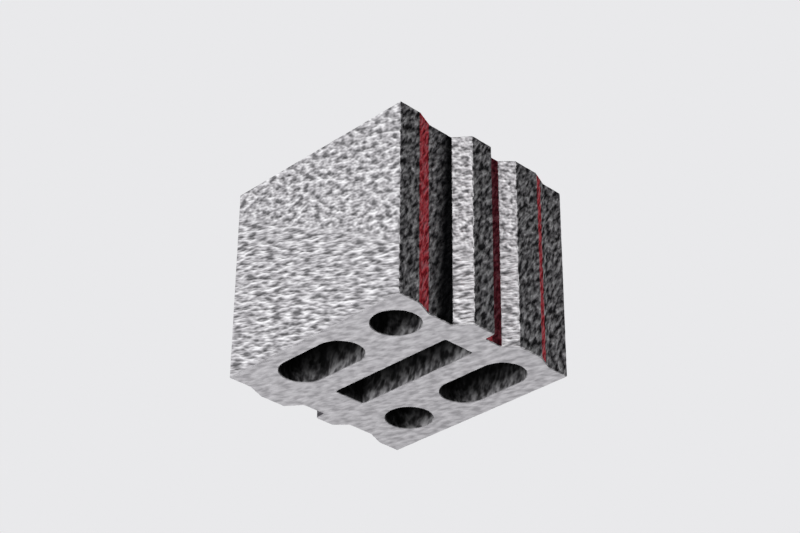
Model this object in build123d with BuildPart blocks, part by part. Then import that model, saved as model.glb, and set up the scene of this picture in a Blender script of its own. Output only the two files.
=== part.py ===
from build123d import *
import os

# A cast concrete wall block with tongue-and-groove ends, in millimetres.
# X runs along the wall, Y through its thickness and +Z up. The block stands as it is laid,
# with its five cores open at the underside and closed at the top by a solid lid.
# The origin is on the underside, midway between the two wall faces and the lands of the two ends.

# Overall size, between the lands of the ends, the two wall faces, and the underside and the top
block_length = 247.0
block_width = 240.0
block_height = 222.0

# End profile, measured along Y. A steep middle flank near the wall's centre plane parts the
# narrow tongue and the broad groove, towards the front, from the narrow groove and the broad
# tongue, towards the back. The lands beside the wall faces take what is left of the width.
middle_flank_y = 4.0
middle_flank_run = 0.6
narrow_tongue_width = 28.6
narrow_groove_width = 22.7
side_flank_run = 13.4
broad_groove_width = 32.0
broad_tongue_width = 31.0
ramp_run = 21.6

# Depth and height of the end profile, measured along X from the lands
narrow_tongue_height = 8.5
narrow_groove_depth = 4.7
broad_groove_depth = 8.6
broad_tongue_height = 8.6

# Roundings left by the mould at the wall corners and the bends of the end profile, and the small
# bevel of the arrises round the top, the underside and the core mouths
corner_radius = 1.5
bend_radius = 2.0
arris_bevel = 1.0

# Cores: two rows of one long and one round core each, with a straight slot between the rows.
# The back row is the front row turned half round about the middle of the slot, which lies off
# the block's middle by core_pattern_x and core_pattern_y. The walls round the cores are their
# mean on the two sides.
core_pattern_x = 10.7
core_pattern_y = -3.5
end_wall = 29.9
core_web = 33.0
round_core_diameter = 50.6
round_core_face_wall = 18.0
long_core_width = 50.5
long_core_face_wall = 21.2
slot_width = 38.5
slot_end_wall = 44.8
slot_corner_radius = 2.0

# Thickness of the lid that closes the cores
lid_thickness = 30.0

# What the walls leave for the cores, and the cores' places from the middle of the slot
row_reach = block_length / 2 - end_wall
long_core_length = 2 * row_reach - core_web - round_core_diameter
long_core_x = row_reach - long_core_length / 2
long_core_y = block_width / 2 - long_core_face_wall - long_core_width / 2
round_core_x = row_reach - round_core_diameter / 2
round_core_y = block_width / 2 - round_core_face_wall - round_core_diameter / 2
slot_length = block_length - 2 * slot_end_wall
core_depth = block_height - lid_thickness


def end_profile():
    """Points (y, x) of one end from front to back, with x counted from the land's plane."""
    narrow_tongue_back = middle_flank_y - middle_flank_run / 2
    narrow_tongue_front = narrow_tongue_back - narrow_tongue_width
    broad_groove_back = narrow_tongue_front - side_flank_run
    broad_groove_front = broad_groove_back - broad_groove_width
    narrow_groove_front = middle_flank_y + middle_flank_run / 2
    narrow_groove_back = narrow_groove_front + narrow_groove_width
    broad_tongue_front = narrow_groove_back + side_flank_run
    broad_tongue_back = broad_tongue_front + broad_tongue_width
    return [
        (-block_width / 2, 0),
        (broad_groove_front - ramp_run, 0),
        (broad_groove_front, -broad_groove_depth),
        (broad_groove_back, -broad_groove_depth),
        (narrow_tongue_front, narrow_tongue_height),
        (narrow_tongue_back, narrow_tongue_height),
        (narrow_groove_front, -narrow_groove_depth),
        (narrow_groove_back, -narrow_groove_depth),
        (broad_tongue_front, broad_tongue_height),
        (broad_tongue_back, broad_tongue_height),
        (broad_tongue_back + ramp_run, 0),
        (block_width / 2, 0),
    ]


def block_outline():
    """Outline of the block seen from above. Both ends follow the same profile, so blocks interlock."""
    profile = end_profile()
    right_end = [(block_length / 2 + x, y) for y, x in profile]
    left_end = [(-block_length / 2 + x, y) for y, x in profile]
    return right_end + left_end[::-1]


# Body of the block, with the wall faces' corners and the bends of the profile rounded
with BuildPart() as concrete_block:
    with BuildSketch() as plan:
        with BuildLine():
            Polyline(*block_outline(), close=True)
        make_face()
        bends_reach = block_width / 2 - corner_radius
        bends = plan.vertices().filter_by_position(Axis.Y, -bends_reach, bends_reach)
        fillet(bends, radius=bend_radius)
        rows = plan.vertices().group_by(Axis.Y)
        fillet(rows[0] + rows[-1], radius=corner_radius)
    extrude(amount=block_height)

    # Cores, sunk from the underside up to the lid
    with BuildSketch() as cores:
        with Locations((core_pattern_x, core_pattern_y)):
            RectangleRounded(slot_length, slot_width, slot_corner_radius)
            with Locations((-long_core_x, -long_core_y), (long_core_x, long_core_y)):
                SlotOverall(long_core_length, long_core_width)
            with Locations((round_core_x, -round_core_y), (-round_core_x, round_core_y)):
                Circle(round_core_diameter / 2)
    extrude(amount=core_depth, mode=Mode.SUBTRACT)

    # Bevelled arrises of the underside, the core mouths and the top
    underside = concrete_block.faces().sort_by(Axis.Z)[0]
    top = concrete_block.faces().sort_by(Axis.Z)[-1]
    chamfer(underside.edges() + top.edges(), length=arris_bevel)

concrete_block.part.label = "concrete_block"

os.makedirs("parts", exist_ok=True)
export_step(concrete_block.part, "parts/concrete_block.step")
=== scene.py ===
import math

import bmesh
import bpy
from mathutils import Matrix, Vector, kdtree, noise


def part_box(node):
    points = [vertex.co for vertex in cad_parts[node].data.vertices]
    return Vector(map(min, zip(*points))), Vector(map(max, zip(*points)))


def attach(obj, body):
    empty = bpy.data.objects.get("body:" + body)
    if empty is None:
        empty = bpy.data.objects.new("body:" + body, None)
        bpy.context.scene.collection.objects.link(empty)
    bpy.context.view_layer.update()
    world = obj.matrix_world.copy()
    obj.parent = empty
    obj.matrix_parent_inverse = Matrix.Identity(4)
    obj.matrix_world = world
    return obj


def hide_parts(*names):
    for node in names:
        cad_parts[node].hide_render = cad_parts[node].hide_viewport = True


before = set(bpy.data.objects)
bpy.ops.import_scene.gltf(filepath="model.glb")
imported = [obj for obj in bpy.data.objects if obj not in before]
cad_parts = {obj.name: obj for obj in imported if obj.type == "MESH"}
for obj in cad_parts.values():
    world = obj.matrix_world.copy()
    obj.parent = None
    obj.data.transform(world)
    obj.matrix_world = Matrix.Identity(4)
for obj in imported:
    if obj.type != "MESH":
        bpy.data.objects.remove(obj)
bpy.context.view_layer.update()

# A cast concrete wall block, dressed in metres over its CAD solid. X runs along the wall, the
# front wall face looks along -Y, and the cores open at the underside, where z is 0.
MM = 0.001

# Relief left in the cast faces by the coarse, stiff mix: lumps of aggregate with crevices between.
wall_relief = 0.9 * MM
core_relief = 1.4 * MM
bed_relief = 0.25 * MM
arris_relief = 0.3 * MM

# Lengths of the lumps along the wall and across it, in millimetres. They are drawn out low on the
# front, upright on the ends, and drawn out upwards in the cores, where the core box was pulled.
front_lumps = (9.3, 6.2)
drawn_lumps = (15, 5)
end_lumps = (6.0, 8.8)
bed_lumps = (13, 8)
core_lumps = (8, 8, 15)

# Strength of the lumps where it isn't that of the front: flatter where drawn out, steeper on the ends
drawn_strength = 0.92
end_strength = 1.3

# Lumps in the photograph lie on planes that fall towards +X and rise towards +Y by these shares,
# and on the ends they lean towards +Y by this share of their height.
grain_fall = 0.33
grain_rise = 0.60
end_lean = 0.3

# The drawn-out grain lies under a plane, this high at the block's middle, which falls towards +X
# and rises towards +Y by these shares. It fades out this far to both sides of that plane.
drawn_height = 168 * MM
drawn_fall = 0.55
drawn_rise = 0.35
drawn_fade = 8 * MM

# The front's lumps fade into calmer skin between these heights over the underside.
foot_top = 9 * MM
foot_bottom = 1 * MM

# The skin of the underside is streaked along lines turned this far from X towards Y, and the
# scores in the cores lean this far from upright towards X.
bed_turn = math.radians(18)
score_lean = math.radians(14)

# Light on the core walls at their mouths: what every wall gets, and what one gets on top that looks
# straight this way. Each millimetre inwards leaves this share of it.
mouth_light_everywhere = 0.1
mouth_light_on_top = 0.72
lit_side = Vector((-0.35, -0.9, 0))
left_per_millimetre = 0.86

# Bends of the walls run straight, and the relief grows to its full depth this far from them. An
# edge is a bend from the first of these turns in degrees, and is shaded as sharp from the second.
bend_reach = 5.0 * MM
bend_turn = 8
sharp_turn = 38

# The mesh is cut into cells fine enough to carry the lumps on the walls, and coarser ones elsewhere.
wall_cell = 2.15 * MM
bed_cell = 2.7 * MM
core_cell = 4.2 * MM

# Cuts that fall this close together are merged, so that no sliver of a face is left.
merge_reach = 0.35 * MM

# A face is level when its normal has more than this share of up or down, and a wall when it has
# less than this one. The bevelled arrises lie between the two.
level_share = 0.9
wall_share = 0.5

# Core walls lie within this reach of the block's middle, and the end profiles beyond it. The faces
# that close the cores lie higher than their mouths by more than this.
core_reach_x = 110 * MM
core_reach_y = 112 * MM
mouth_height = 10 * MM

# On the ends, the flanks of the tongues lie within this reach of the middle, and the corners of the
# wall faces beyond it.
flank_reach_y = 60 * MM

# Height in millimetres that lies over the whole block
over_block = 230.0

# Values that the mesh keeps at its points for the material
kept_values = ("relief", "core", "bed", "foot", "drawn", "upright", "painted_flank_light", "lit")


def colour(code):
    """Linear colour of an sRGB hex code."""
    parts = [int(code[i:i + 2], 16) / 255 for i in (1, 3, 5)]
    return [p / 12.92 if p <= 0.04045 else ((p + 0.055) / 1.055) ** 2.4 for p in parts] + [1.0]


def smooth_step(value, low, high):
    """Rises smoothly from 0 at low to 1 at high."""
    t = min(max((value - low) / (high - low), 0.0), 1.0)
    return t * t * (3 - 2 * t)


def in_core(point):
    """True inside the reach of the cores, clear of the outer walls."""
    return abs(point.x) < core_reach_x and abs(point.y) < core_reach_y


def outer_wall(f):
    """True for faces of the wall faces and of both ends."""
    return abs(f.normal.z) < wall_share and not in_core(f.calc_center_median())


def core_wall(f):
    """True for faces of the cores' walls."""
    return abs(f.normal.z) < wall_share and in_core(f.calc_center_median())


def core_top(f):
    """True for faces that close the cores."""
    return f.normal.z < -level_share and f.calc_center_median().z > mouth_height


def bed(f):
    """True for faces of the underside and of the top."""
    return abs(f.normal.z) > level_share and not core_top(f)


def lies_along_x(f):
    """True for walls that run along X, and for the steep flanks of the tongues."""
    steepest_flank = 0.75
    return abs(f.normal.x) < steepest_flank


def cut_cells(bm, axis, low, high, cell, wanted):
    """Cuts the wanted faces by planes across an axis, one cell apart, from low to high."""
    across = Vector((axis == 0, axis == 1, axis == 2))
    ahead = [f for f in bm.faces if wanted(f)]
    count = round((high - low) / cell)
    for i in range(1, count):
        place = low + (high - low) * i / count
        near = set(ahead)
        for f in ahead:
            near.update(f.edges)
            near.update(f.verts)
        cut = bmesh.ops.bisect_plane(
            bm, geom=list(near), dist=1e-7, plane_co=across * place, plane_no=across)
        ahead = [g for g in cut["geom"] if isinstance(g, bmesh.types.BMFace)
                 and g.calc_center_median()[axis] > place]


def block_cells(source):
    """The CAD solid's flat faces, merged from its triangles and cut into cells."""
    low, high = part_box(source.name)
    bm = bmesh.new()
    bm.from_mesh(source.data)
    bmesh.ops.remove_doubles(bm, verts=bm.verts, dist=1e-6)
    bmesh.ops.dissolve_limit(
        bm, angle_limit=math.radians(0.5), verts=bm.verts, edges=bm.edges)
    for axis in (0, 1):
        cut_cells(bm, axis, low[axis], high[axis], bed_cell, bed)
        cut_cells(bm, axis, low[axis], high[axis], core_cell, core_top)
    for wall, cell in ((outer_wall, wall_cell), (core_wall, core_cell)):
        cut_cells(bm, 0, low[0], high[0], cell, lambda f: wall(f) and lies_along_x(f))
        cut_cells(bm, 1, low[1], high[1], cell, lambda f: wall(f) and not lies_along_x(f))
    cut_cells(bm, 2, low[2], high[2], core_cell, core_wall)
    cut_cells(bm, 2, low[2], high[2], wall_cell, outer_wall)
    bmesh.ops.remove_doubles(bm, verts=bm.verts, dist=merge_reach)
    bmesh.ops.dissolve_degenerate(bm, edges=bm.edges, dist=0.01 * MM)
    return bm


# Shares of each kind of skin at a point. The two numbers beside a part of the normal say how much
# of it gives none of that skin, and how much gives all of it.

def drawn_share(p, n):
    """Share of drawn-out grain: on the front wall and the flanks that face it, low down."""
    over_plane = p.z + drawn_fall * p.x - drawn_rise * p.y - drawn_height
    return smooth_step(-n.y, 0.3, 0.7) * smooth_step(-over_plane, -drawn_fade, drawn_fade)


def foot_share(p, n):
    """Share of calmer skin on the front wall, next to the underside."""
    return smooth_step(-n.y, 0.8, 0.95) * smooth_step(-p.z, -foot_top, -foot_bottom)


def upright_share(n):
    """Share of the ends' skin, on what faces along the wall."""
    return smooth_step(abs(n.x), 0.7, 0.85)


def painted_flank_light_share(p, n):
    """Share of painted light, a paler skin, on the flanks that climb from a groove to a tongue."""
    return smooth_step(-n.x * n.y, 0.25, 0.45) * (abs(p.y) < flank_reach_y)


def mouth_light(p, n):
    """Share of light on a core wall. It falls to a tenth 15 mm inside, as the lamps cast no shadow there."""
    at_mouth = mouth_light_everywhere + mouth_light_on_top * max(n.dot(lit_side), 0.0)
    return at_mouth * left_per_millimetre ** (p.z / MM)


def two_octaves(q):
    """Noise with finer noise on top, from another part of the pattern, near 0 on average."""
    elsewhere = Vector((5.2, 1.3, 8))
    finer_strength = 0.55
    return noise.noise(q) + finer_strength * noise.noise(q * 2 + elsewhere)


def slanted(p, run, lengths, lean=0.0):
    """A point in a flat pattern of lumps of these lengths in millimetres, with its place along the
    wall and its height from a sloping plane. The pattern is one layer of the noise, because between
    its whole numbers the noise has coarse patches."""
    height = p.z + grain_fall * p.x - grain_rise * p.y
    return Vector(((run - lean * height) / lengths[0], height / lengths[1], 0)) / MM


def wall_lumps(p, drawn, upright):
    """Noise of the lumps on an outer wall."""
    grain = two_octaves(slanted(p, p.x + p.y, front_lumps))
    if drawn > 0:
        drawn_out = drawn_strength * two_octaves(slanted(p, p.x + p.y, drawn_lumps))
        grain += (drawn_out - grain) * drawn
    if upright > 0:
        stood_up = end_strength * two_octaves(slanted(p, p.y, end_lumps, end_lean))
        grain += (stood_up - grain) * upright
    return grain


def bed_streaks(p):
    """Noise of the streaks on the underside and the top."""
    along = Matrix.Rotation(-bed_turn, 3, "Z") @ p
    return two_octaves(Vector((along.x / bed_lumps[0], along.y / bed_lumps[1], 0)) / MM)


def core_scores(p):
    """Noise of the scores in a core."""
    along = Matrix.Rotation(-score_lean, 3, "Y") @ p
    scaled = [part / length for part, length in zip(along, core_lumps)]
    return two_octaves(Vector(scaled) / MM)


def find_bends(bm):
    """Marks each edge as sharp or smooth, and returns the points on the bends for look-up."""
    on_bends = set()
    for e in bm.edges:
        turn = math.degrees(e.calc_face_angle(0.0))
        e.smooth = turn < sharp_turn
        if turn > bend_turn:
            on_bends.update(e.verts)
    bends = kdtree.KDTree(len(on_bends))
    for i, v in enumerate(on_bends):
        bends.insert(v.co, i)
    bends.balance()
    return bends


def relief_height(grain):
    """Height of the relief, from 0 in a crevice to 1 on a lump, for noise near 0 on average."""
    steepness = 0.9
    return min(max(0.5 + steepness * grain, 0.0), 1.0)


def relief_depth(p, on_core, calm, bends):
    """Depth of the relief at a point. Next to a bend it is no deeper than on an arris."""
    deep = core_relief if on_core else wall_relief + (bed_relief - wall_relief) * calm
    if deep > arris_relief:
        from_bend = bends.find(p)[2]
        deep = arris_relief + (deep - arris_relief) * smooth_step(from_bend, 0.0, bend_reach)
    return deep


def press_relief(bm):
    """Presses the surface in between the lumps, and keeps the values for the material."""
    layers = {name: bm.verts.layers.float.new(name) for name in kept_values}
    bm.normal_update()
    bends = find_bends(bm)
    moves = []
    for v in bm.verts:
        n = v.normal.copy()
        p = v.co.copy()
        on_core = any(core_wall(f) or core_top(f) for f in v.link_faces)
        on_bed = any(bed(f) for f in v.link_faces)
        drawn = drawn_share(p, n)
        foot = foot_share(p, n)
        upright = upright_share(n)
        if on_core:
            grain = core_scores(p)
        elif on_bed:
            grain = bed_streaks(p)
        else:
            grain = wall_lumps(p, drawn, upright)
        relief = relief_height(grain)
        kept = {
            "relief": relief,
            "core": on_core,
            "bed": on_bed,
            "foot": foot,
            "drawn": drawn,
            "upright": 0.0 if on_core else upright,
            "painted_flank_light": painted_flank_light_share(p, n),
            "lit": mouth_light(p, n) if on_core else 1.0}
        for name, value in kept.items():
            v[layers[name]] = float(value)
        deep = relief_depth(p, on_core, 1.0 if on_bed else foot, bends)
        moves.append((v, n * (deep * (relief - 1.0))))
    for v, move in moves:
        v.co += move
    for f in bm.faces:
        f.smooth = True


def make_block():
    """The cast block, as one closed mesh over the CAD solid."""
    bm = block_cells(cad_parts["concrete_block"])
    press_relief(bm)
    bmesh.ops.triangulate(bm, faces=[f for f in bm.faces if len(f.verts) > 4])
    mesh = bpy.data.meshes.new("cast_block")
    bm.to_mesh(mesh)
    bm.free()
    block = bpy.data.objects.new("cast_block", mesh)
    bpy.context.collection.objects.link(block)
    return block


def add_node(tree, kind, settings=None, inputs=None):
    """Adds a node, sets its properties, and sets or links its inputs by name or number."""
    node = tree.nodes.new(kind)
    for name, value in (settings or {}).items():
        setattr(node, name, value)
    for name, value in (inputs or {}).items():
        if isinstance(value, bpy.types.NodeSocket):
            tree.links.new(value, node.inputs[name])
        else:
            node.inputs[name].default_value = value
    return node


def new_material(name):
    """A material with an empty node tree, and that tree."""
    material = bpy.data.materials.new(name)
    material.use_nodes = True
    material.node_tree.nodes.clear()
    return material, material.node_tree


def set_ramp(node, stops):
    """Gives a colour ramp its stops, as pairs of a place and an sRGB hex code."""
    ramp = node.color_ramp
    while len(ramp.elements) < len(stops):
        ramp.elements.new(0.5)
    for element, (place, code) in zip(ramp.elements, stops):
        element.position = place
        element.color = colour(code)
    return node.outputs["Color"]


def band(tree, value, low, high):
    """1 where the value lies between low and high in millimetres, with edges half a millimetre soft."""
    low_edge, high_edge = [
        add_node(tree, "ShaderNodeMapRange", {"interpolation_type": "SMOOTHSTEP"}, {
            "Value": value, "From Min": (edge - 0.25) * MM, "From Max": (edge + 0.25) * MM}).outputs[0]
        for edge in (low, high)]
    return add_node(tree, "ShaderNodeMath", {"operation": "SUBTRACT"}, {
        0: low_edge, 1: high_edge}).outputs[0]


def slanted_places(tree, place, run, lean=0.0):
    """The same flat pattern's places for the material, from a place along the wall."""
    height = add_node(tree, "ShaderNodeMath", {"operation": "MULTIPLY_ADD"}, {
        0: place["X"], 1: grain_fall, 2: place["Z"]}).outputs[0]
    height = add_node(tree, "ShaderNodeMath", {"operation": "MULTIPLY_ADD"}, {
        0: place["Y"], 1: -grain_rise, 2: height}).outputs[0]
    across = add_node(tree, "ShaderNodeMath", {"operation": "MULTIPLY_ADD"}, {
        0: height, 1: -lean, 2: run}).outputs[0]
    return add_node(tree, "ShaderNodeCombineXYZ", {}, {"X": across, "Y": height}).outputs[0]


def grain_noise(tree, where, lengths, detail=2.0, turn=(0, 0, 0)):
    """Noise with grains of these lengths in millimetres along X, Y and Z, turned about the axes."""
    scaled = add_node(tree, "ShaderNodeMapping", {"vector_type": "TEXTURE"}, {
        "Vector": where, "Rotation": turn,
        "Scale": [length * MM for length in lengths]}).outputs[0]
    return add_node(tree, "ShaderNodeTexNoise", {}, {
        "Vector": scaled, "Scale": 1.0, "Detail": detail, "Roughness": 0.55}).outputs["Fac"]


def grain_flecks(tree, where, place, kept):
    """Flecks of the grain, about 9 mm long, drawn out to 15 mm low on the front, upright and more
    open on the ends, pulled upwards in the cores, and calm and long on the underside and the top."""
    run = add_node(tree, "ShaderNodeMath", {"operation": "ADD"}, {
        0: place["X"], 1: place["Y"]}).outputs[0]
    front_places = slanted_places(tree, place, run)
    end_places = slanted_places(tree, place, place["Y"], end_lean)
    grain = grain_noise(tree, front_places, (9.3, 6.0, 1.0), detail=1.2)
    drawn_out = grain_noise(tree, front_places, (15.0, 4.8, 1.0), detail=1.3)
    stood_up = grain_noise(tree, end_places, (5.8, 7.8, 1.0), detail=1.5)
    more_open = add_node(tree, "ShaderNodeMath", {"operation": "MULTIPLY_ADD"}, {
        0: stood_up, 1: 1.2, 2: -0.1}).outputs[0]
    scores = grain_noise(tree, where, (6.0, 6.0, 10.5), detail=1.5, turn=(0, score_lean, 0))
    calm = grain_noise(tree, where, (12.0, 7.0, 7.5), detail=1.5, turn=(0, 0, bed_turn))
    for name, other in (("drawn", drawn_out), ("upright", more_open), ("core", scores), ("bed", calm)):
        grain = add_node(tree, "ShaderNodeMix", {"data_type": "FLOAT"}, {
            0: kept[name], 2: grain, 3: other}).outputs[0]
    contrast = 3.4
    darker_by = 1.2
    return add_node(tree, "ShaderNodeMath", {"operation": "MULTIPLY_ADD"}, {
        0: grain, 1: contrast, 2: -darker_by}).outputs[0]


def bare_skin(tree, height, kept):
    """Colours of the plain skins from their crevices to their lumps. Flanks of the tongues are painted
    paler, as painted light, and the ends are painted darker in their crevices, as painted shade of the light
    that grazes them."""
    # The ramp for the ends is darker, most of all in its crevices: painted shade, for the light that grazes
    # the ends.
    walls, ends, flanks, beds = [
        set_ramp(add_node(tree, "ShaderNodeValToRGB", {}, {"Fac": height}), stops)
        for stops in (
            [(0.10, "#767578"), (0.50, "#C2C0C4"), (0.90, "#F6F5F8")],
            [(0.14, "#3A393C"), (0.50, "#A09EA2"), (0.90, "#F4F3F6")],
            [(0.10, "#7E7D80"), (0.45, "#D6D4D8"), (0.80, "#FCFBFE")],
            [(0.15, "#A8A6AA"), (0.50, "#C0BEC2"), (0.90, "#D1CFD3")])]
    face = walls
    for name, skin in (("upright", ends), ("painted_flank_light", flanks), ("foot", beds), ("bed", beds)):
        face = add_node(tree, "ShaderNodeMix", {"data_type": "RGBA"}, {
            0: kept[name], 6: face, 7: skin}).outputs[2]
    return face


def tone_arrises(tree, face):
    """Tones down the bevelled arrises of the foot and the mouths, which face the light squarely."""
    facing = add_node(tree, "ShaderNodeSeparateXYZ", {}, {
        "Vector": add_node(tree, "ShaderNodeNewGeometry").outputs["True Normal"]}).outputs["Z"]
    arris = add_node(tree, "ShaderNodeMath", {"operation": "COMPARE"}, {
        0: facing, 1: -0.7, 2: 0.2}).outputs[0]
    return add_node(tree, "ShaderNodeMix", {"data_type": "RGBA", "blend_type": "MULTIPLY"}, {
        0: arris, 6: face, 7: colour("#D8D8D8")}).outputs[2]


def mark_right_end(tree, height, place, kept, face):
    """Painted shade in the broad groove of the right-hand end, darkest at its inner corner, and the upright
    red bands, one of them red in painted shade. They leave out the flanks of the tongues and the arris of
    the foot."""
    share = add_node(tree, "ShaderNodeMapRange", {}, {
        "Value": place["X"], "From Min": core_reach_x, "From Max": core_reach_x + 1 * MM}).outputs[0]
    over_arris = band(tree, place["Z"], 1.2, over_block)
    for limit in (kept["upright"], over_arris):
        share = add_node(tree, "ShaderNodeMath", {"operation": "MULTIPLY"}, {
            0: share, 1: limit}).outputs[0]

    # The painted shade deepens towards the groove's inner corner, and starts further from it at the foot
    shade_lean = 0.055
    leant = add_node(tree, "ShaderNodeMath", {"operation": "MULTIPLY_ADD"}, {
        0: place["Z"], 1: -shade_lean, 2: place["Y"]}).outputs[0]
    groove_painted_shade = add_node(tree, "ShaderNodeMapRange", {"interpolation_type": "SMOOTHSTEP"}, {
        "Value": leant, "From Min": -77 * MM, "From Max": -52 * MM, "To Max": 0.985}).outputs[0]
    for limit in (band(tree, place["Y"], -90.0, -38.3), share):
        groove_painted_shade = add_node(tree, "ShaderNodeMath", {"operation": "MULTIPLY"}, {
            0: groove_painted_shade, 1: limit}).outputs[0]
    face = add_node(tree, "ShaderNodeMix", {"data_type": "RGBA"}, {
        0: groove_painted_shade, 6: face, 7: colour("#020306")}).outputs[2]

    # The red bands, by their places along Y in millimetres. The dull red band deeper in the narrow groove is
    # the red in painted shade.
    bright_red, red_in_painted_shade = [
        set_ramp(add_node(tree, "ShaderNodeValToRGB", {}, {"Fac": height}), stops)
        for stops in (
            [(0.14, "#BC2E3A"), (0.42, "#FF5C68"), (0.84, "#FF8E98")],
            [(0.10, "#501A23"), (0.50, "#762D38"), (0.90, "#8C5059")])]
    for low, high, red in (
            (-92.8, -72.0, bright_red), (4.3, 14.0, bright_red),
            (14.0, 27.0, red_in_painted_shade), (73.8, 83.2, bright_red)):
        tint = add_node(tree, "ShaderNodeMath", {"operation": "MULTIPLY"}, {
            0: band(tree, place["Y"], low, high), 1: share}).outputs[0]
        face = add_node(tree, "ShaderNodeMix", {"data_type": "RGBA"}, {
            0: tint, 6: face, 7: red}).outputs[2]
    return face


def darken_cores(tree, height, kept, face):
    """Paints shade on the core walls: black between their scores, and all over where the light doesn't
    reach.
    """
    scored = add_node(tree, "ShaderNodeMapRange", {"interpolation_type": "SMOOTHSTEP"}, {
        "Value": height, "From Min": 0.2, "From Max": 0.8, "To Min": 0.25, "To Max": 0.77}).outputs[0]
    scored = add_node(tree, "ShaderNodeMath", {"operation": "MULTIPLY"}, {
        0: scored, 1: kept["lit"]}).outputs[0]
    return add_node(tree, "ShaderNodeMix", {"data_type": "RGBA", "blend_type": "MULTIPLY"}, {
        0: kept["core"], 6: face, 7: scored}).outputs[2]


def darken_left_step(tree, place, face):
    """Darkens the steep step at the foot of the left-hand end with painted shade, as it is in the
    photograph.
    """
    step = add_node(tree, "ShaderNodeMath", {"operation": "LESS_THAN"}, {
        0: place["X"], 1: -114.6 * MM}).outputs[0]
    over_arris = band(tree, place["Z"], 1.0, over_block)
    for limit in (band(tree, place["Y"], 2.4, 5.4), over_arris):
        step = add_node(tree, "ShaderNodeMath", {"operation": "MULTIPLY"}, {
            0: step, 1: limit}).outputs[0]
    return add_node(tree, "ShaderNodeMix", {"data_type": "RGBA", "blend_type": "MULTIPLY"}, {
        0: step, 6: face, 7: colour("#6A696C")}).outputs[2]


def sand_bump(tree, where, flecks, kept):
    """Bump of the flecks and of the sand between them. The sand is drawn at 1.6 mm, because real
    grains of under a millimetre are too fine to show."""
    sand = grain_noise(tree, where, (1.6, 1.6, 1.6))
    rough = add_node(tree, "ShaderNodeMath", {"operation": "MULTIPLY_ADD"}, {
        0: sand, 1: 0.12, 2: flecks}).outputs[0]
    strength = add_node(tree, "ShaderNodeMapRange", {}, {
        "Value": kept["bed"], "To Min": 1.0, "To Max": 0.3}).outputs[0]
    return add_node(tree, "ShaderNodeBump", {}, {
        "Height": rough, "Distance": 1.2 * MM, "Strength": strength}).outputs["Normal"]


def cast_concrete():
    """Cast, unpainted concrete: matt pale grey lumps of mortar and aggregate with darker crevices."""
    material, tree = new_material("cast_concrete")
    where = add_node(tree, "ShaderNodeTexCoord").outputs["Object"]
    place = add_node(tree, "ShaderNodeSeparateXYZ", {}, {"Vector": where}).outputs
    kept = {
        name: add_node(tree, "ShaderNodeAttribute", {"attribute_name": name}).outputs["Fac"]
        for name in kept_values}
    flecks = grain_flecks(tree, where, place, kept)
    fleck_share = 0.6
    height = add_node(tree, "ShaderNodeMix", {"data_type": "FLOAT"}, {
        0: fleck_share, 2: kept["relief"], 3: flecks}).outputs[0]
    face = bare_skin(tree, height, kept)
    face = tone_arrises(tree, face)
    face = mark_right_end(tree, height, place, kept, face)
    face = darken_cores(tree, height, kept, face)
    face = darken_left_step(tree, place, face)
    skin = add_node(tree, "ShaderNodeBsdfPrincipled", {}, {
        "Base Color": face, "Roughness": 0.95, "IOR": 1.45, "Specular IOR Level": 0.05,
        "Normal": sand_bump(tree, where, flecks, kept)})
    add_node(tree, "ShaderNodeOutputMaterial", {}, {"Surface": skin.outputs[0]})
    return material


block = make_block()
block.data.materials.append(cast_concrete())
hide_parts("concrete_block")
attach(block, "root")


def pale_floor():
    """Matt pale floor round the block, which fades into the backdrop further off. It shows only from
    above, because the photograph looks up from under it."""
    half_width = 1.5
    drop = 0.1 * MM
    fade_from = 0.25
    fade_to = 1.1
    material, tree = new_material("matt_pale_floor")
    behind = add_node(tree, "ShaderNodeNewGeometry").outputs["Backfacing"]
    away = add_node(tree, "ShaderNodeVectorMath", {"operation": "LENGTH"}, {
        0: add_node(tree, "ShaderNodeTexCoord").outputs["Object"]}).outputs["Value"]
    faded = add_node(tree, "ShaderNodeMapRange", {"interpolation_type": "SMOOTHSTEP"}, {
        "Value": away, "From Min": fade_from, "From Max": fade_to}).outputs[0]
    unseen = add_node(tree, "ShaderNodeMath", {"operation": "MAXIMUM"}, {
        0: behind, 1: faded}).outputs[0]
    matt = add_node(tree, "ShaderNodeBsdfDiffuse", {}, {"Color": colour("#E4E4E6")}).outputs[0]
    clear = add_node(tree, "ShaderNodeBsdfTransparent").outputs[0]
    shown = add_node(tree, "ShaderNodeMixShader", {}, {0: unseen, 1: matt, 2: clear}).outputs[0]
    add_node(tree, "ShaderNodeOutputMaterial", {}, {"Surface": shown})
    bm = bmesh.new()
    bmesh.ops.create_grid(bm, x_segments=1, y_segments=1, size=half_width)
    bmesh.ops.translate(bm, verts=bm.verts, vec=(0, 0, -drop))
    mesh = bpy.data.meshes.new("floor")
    bm.to_mesh(mesh)
    bm.free()
    floor = bpy.data.objects.new("floor", mesh)
    floor.data.materials.append(material)
    bpy.context.collection.objects.link(floor)
    floor.visible_shadow = False
    floor.visible_diffuse = False
    floor.visible_glossy = False
    return floor


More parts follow.
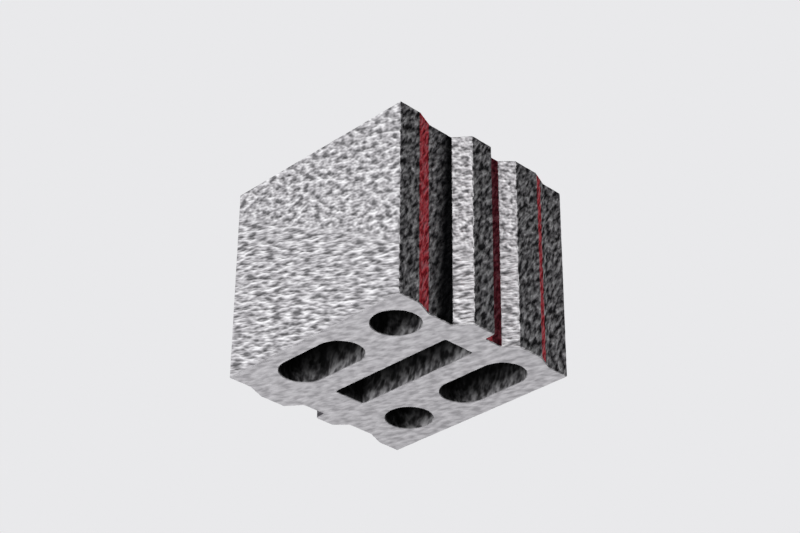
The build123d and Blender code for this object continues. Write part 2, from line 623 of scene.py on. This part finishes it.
def pale_surround(light_strength):
    """A pale backdrop to the camera, and a faint even light on the object."""
    world = bpy.data.worlds.new("surround")
    world.use_nodes = True
    tree = world.node_tree
    tree.nodes.clear()
    path = add_node(tree, "ShaderNodeLightPath").outputs
    seen = add_node(tree, "ShaderNodeMath", {"operation": "MAXIMUM"}, {
        0: path["Is Camera Ray"], 1: path["Is Transmission Ray"]}).outputs[0]
    backdrop = add_node(tree, "ShaderNodeBackground", {}, {
        "Color": colour("#E9E9EB"), "Strength": 1.0}).outputs[0]
    light = add_node(tree, "ShaderNodeBackground", {}, {
        "Color": colour("#FFFFFF"), "Strength": light_strength}).outputs[0]
    either = add_node(tree, "ShaderNodeMixShader", {}, {0: seen, 1: light, 2: backdrop}).outputs[0]
    add_node(tree, "ShaderNodeOutputWorld", {}, {"Surface": either})
    bpy.context.scene.world = world


def soft_lamp(name, direction, distance, size, level, shadow=True):
    """A square soft lamp. Level 1 lights a surface square to it as bright as its colour says."""
    lamp = bpy.data.lights.new(name, "AREA")
    lamp.shape = "SQUARE"
    lamp.size = size
    lamp.energy = level * math.pi ** 2 * distance ** 2
    lamp.use_shadow = shadow
    towards = Vector(direction).normalized()
    block_middle = Vector((0, 0, 0.11))
    holder = bpy.data.objects.new(name, lamp)
    holder.location = block_middle + towards * distance
    holder.rotation_euler = towards.to_track_quat("Z", "Y").to_euler()
    bpy.context.collection.objects.link(holder)


def photo_camera():
    """The camera at the photograph's angle: to the right of the front, and from under the block."""
    azimuth = math.radians(45.76)
    elevation = math.radians(-30.86)
    roll = math.radians(0.52)
    back = Vector((math.sin(azimuth) * math.cos(elevation),
                   -math.cos(azimuth) * math.cos(elevation),
                   math.sin(elevation)))
    right = Vector((math.cos(azimuth), math.sin(azimuth), 0))
    turn = Matrix((right, back.cross(right), back)).transposed() @ Matrix.Rotation(roll, 3, "Z")
    lens = bpy.data.cameras.new("photo_camera")
    lens.sensor_fit = "HORIZONTAL"
    lens.sensor_width = 36.0
    lens.lens = 88.22
    camera = bpy.data.objects.new("photo_camera", lens)
    stand = turn @ Vector((1.98, 112.85, 1992.6)) * MM
    camera.matrix_world = Matrix.Translation(stand) @ turn.to_4x4()
    bpy.context.collection.objects.link(camera)
    bpy.context.scene.camera = camera


pale_floor()
pale_surround(light_strength=0.03)
soft_lamp("front_lamp", (0.02, -1.0, -0.87), distance=4.0, size=2.2, level=1.25, shadow=False)
soft_lamp("right_lamp", (0.35, 1.0, -0.1), distance=1.8, size=1.0, level=0.29, shadow=False)
soft_lamp("back_lamp", (-0.6, 0.8, 0.75), distance=1.8, size=1.0, level=1.3)
photo_camera()
bpy.context.scene.view_settings.view_transform = "Standard"
